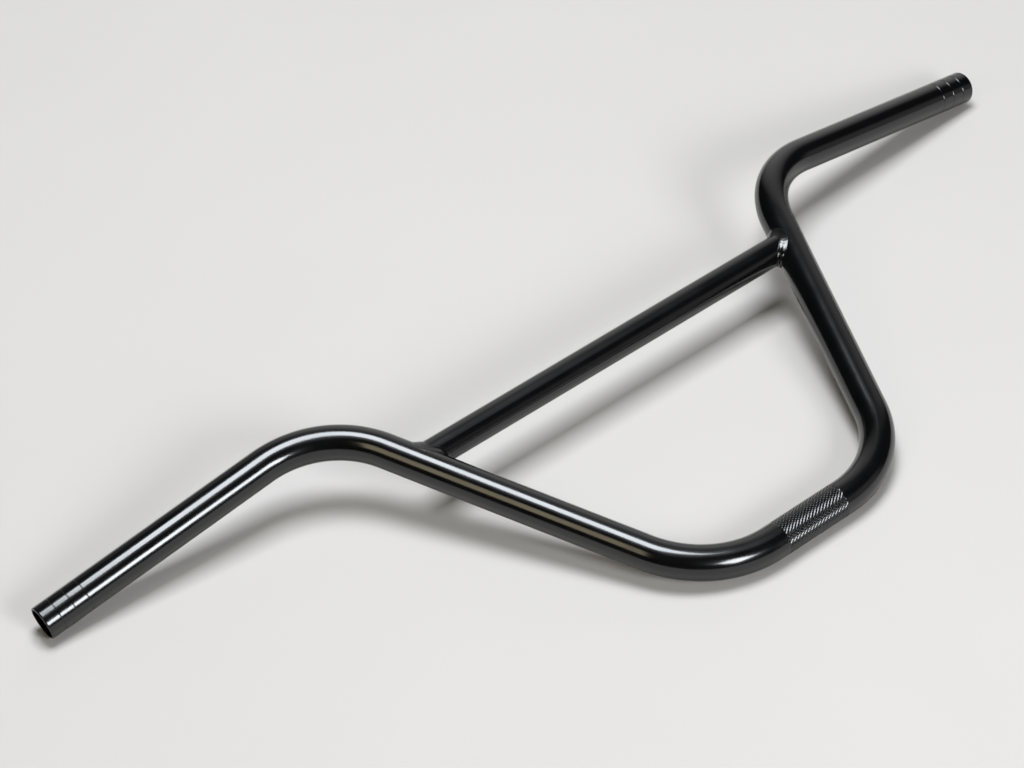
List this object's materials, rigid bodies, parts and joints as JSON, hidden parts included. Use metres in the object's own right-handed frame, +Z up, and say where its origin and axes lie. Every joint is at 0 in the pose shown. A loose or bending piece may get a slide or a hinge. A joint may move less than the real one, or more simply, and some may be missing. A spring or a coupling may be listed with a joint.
{
  "type": "bmx handlebar",
  "caption": "High-rise bicycle handlebar of bent steel tube with swept grips, a straight knurled clamp run for the stem and a welded crossbar between the legs.",
  "frame": {"origin": "middle of the clamp run, on the main tube's centreline", "axes": "+X across the bar towards the right grip, +Y level up the rise, +Z up from the floor that the bar lies on"},
  "size_m": [0.779, 0.2691, 0.0552],
  "materials": {
    "black_coat": "semi-gloss black electro-coat on steel"
  },
  "bodies": {
    "root": {"main_bar": "black_coat", "crossbar": "black_coat", "crossbar_welds": "black_coat"}
  },
  "joints": []
}
